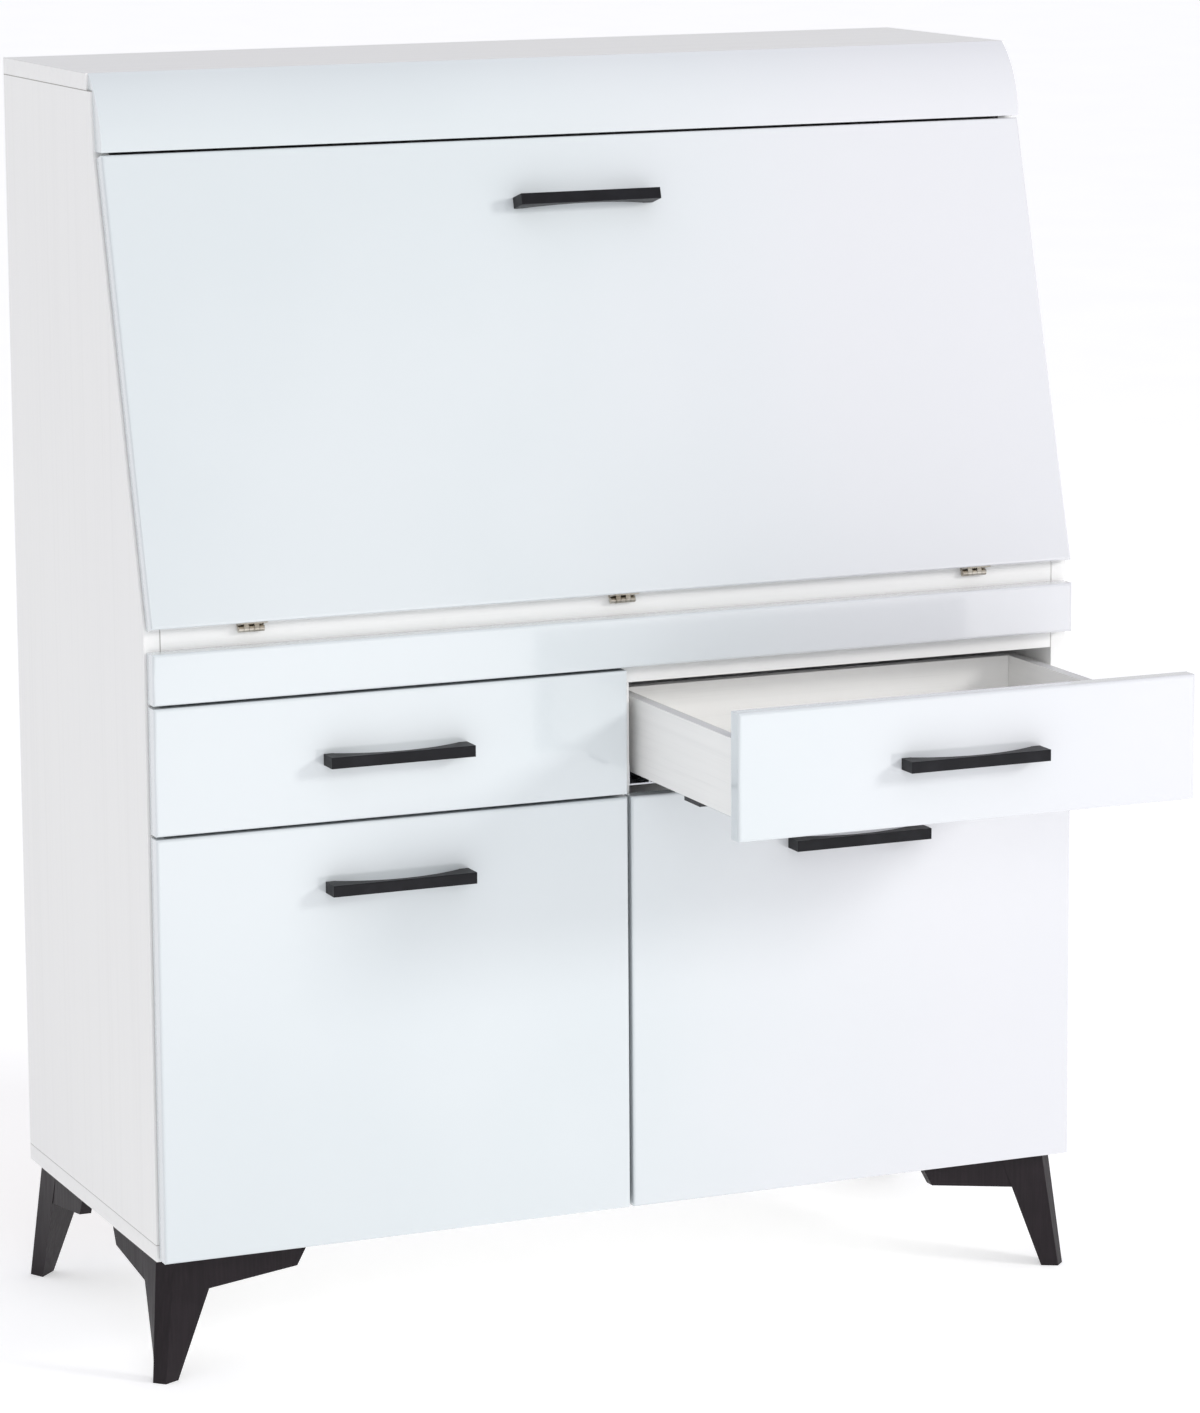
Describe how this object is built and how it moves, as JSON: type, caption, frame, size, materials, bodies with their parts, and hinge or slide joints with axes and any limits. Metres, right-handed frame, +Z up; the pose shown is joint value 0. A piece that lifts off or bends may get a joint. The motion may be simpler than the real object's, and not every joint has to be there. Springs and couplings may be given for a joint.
{
  "type": "secretary desk",
  "caption": "Secretary desk with a slanted drop-front writing flap over a pull-out tray, drawers and doors, on tapering splayed feet.",
  "frame": {"origin": "centre of the footprint on the floor, with the right drawer drawn out as at rest", "axes": "+X to the right for someone facing the fronts, +Y towards the wall, +Z up"},
  "size_m": [0.979, 0.702, 1.24],
  "materials": {
    "gloss_lacquer": "white high-gloss lacquer on fibreboard",
    "white_board": "matt white melamine on chipboard",
    "foot_stain": "matt black-brown stain",
    "black_metal": "matt black powder coat",
    "zinc_steel": "bright zinc plate",
    "nickel": "warm nickel plate",
    "clip_plastic": "moulded, matt"
  },
  "bodies": {
    "carcass": {"side_panel_left": "white_board", "side_panel_right": "white_board", "top_board": "white_board", "bottom_board": "white_board", "back_panel": "white_board", "partition": "white_board", "shelf_left": "white_board", "shelf_right": "white_board", "dust_board": "white_board", "desk_floor": "white_board", "inner_shelf": "white_board", "cornice": "gloss_lacquer", "foot_front_left": "foot_stain", "foot_front_right": "foot_stain", "foot_back_left": "foot_stain", "foot_back_right": "foot_stain", "foot_screws": "zinc_steel", "hinge_plates": "nickel", "flap_hinge_fixed_leaves": "nickel", "flap_hinge_pins": "nickel", "tray_rails_fixed": "zinc_steel", "drawer_left_rails_fixed": "zinc_steel", "drawer_right_rails_fixed": "zinc_steel"},
    "flap": {"flap_panel": "gloss_lacquer", "flap_handle": "black_metal", "flap_handle_screws": "zinc_steel", "flap_hinge_moving_leaves": "nickel"},
    "tray": {"tray_front": "gloss_lacquer", "tray_side_left": "white_board", "tray_side_right": "white_board", "tray_back": "white_board", "tray_bottom": "white_board", "tray_rails_moving": "zinc_steel"},
    "drawer_left": {"drawer_left_front": "gloss_lacquer", "drawer_left_side_left": "white_board", "drawer_left_side_right": "white_board", "drawer_left_back": "white_board", "drawer_left_bottom": "white_board", "drawer_left_handle": "black_metal", "drawer_left_handle_screws": "zinc_steel", "drawer_left_rails_moving": "zinc_steel", "drawer_left_clips": "clip_plastic"},
    "drawer_right": {"drawer_right_front": "gloss_lacquer", "drawer_right_side_left": "white_board", "drawer_right_side_right": "white_board", "drawer_right_back": "white_board", "drawer_right_bottom": "white_board", "drawer_right_handle": "black_metal", "drawer_right_handle_screws": "zinc_steel", "drawer_right_rails_moving": "zinc_steel", "drawer_right_clips": "clip_plastic"},
    "door_left": {"door_left_panel": "gloss_lacquer", "door_left_handle": "black_metal", "door_left_handle_screws": "zinc_steel", "door_left_hinge_cups": "nickel"},
    "door_right": {"door_right_panel": "gloss_lacquer", "door_right_handle": "black_metal", "door_right_handle_screws": "zinc_steel", "door_right_hinge_cups": "nickel"}
  },
  "joints": [
    {"name": "flap_hinge", "type": "hinge", "parent": "carcass", "child": "flap", "pos_m": [0, -0.0625, 0.7245], "axis": [1, 0, 0], "range_deg": [0, 105.61]},
    {"name": "tray_slide", "type": "slide", "parent": "carcass", "child": "tray", "axis": [0, -1, 0], "range_m": [0, 0.3]},
    {"name": "drawer_left_slide", "type": "slide", "parent": "carcass", "child": "drawer_left", "axis": [0, -1, 0], "range_m": [0, 0.265]},
    {"name": "drawer_right_slide", "type": "slide", "parent": "carcass", "child": "drawer_right", "axis": [0, -1, 0], "range_m": [-0.25, 0.015]},
    {"name": "door_left_hinge", "type": "hinge", "parent": "carcass", "child": "door_left", "pos_m": [-0.4795, -0.075, 0.32745], "axis": [0, 0, -1], "range_deg": [0, 110]},
    {"name": "door_right_hinge", "type": "hinge", "parent": "carcass", "child": "door_right", "pos_m": [0.4795, -0.075, 0.32745], "axis": [0, 0, 1], "range_deg": [0, 110]}
  ]
}
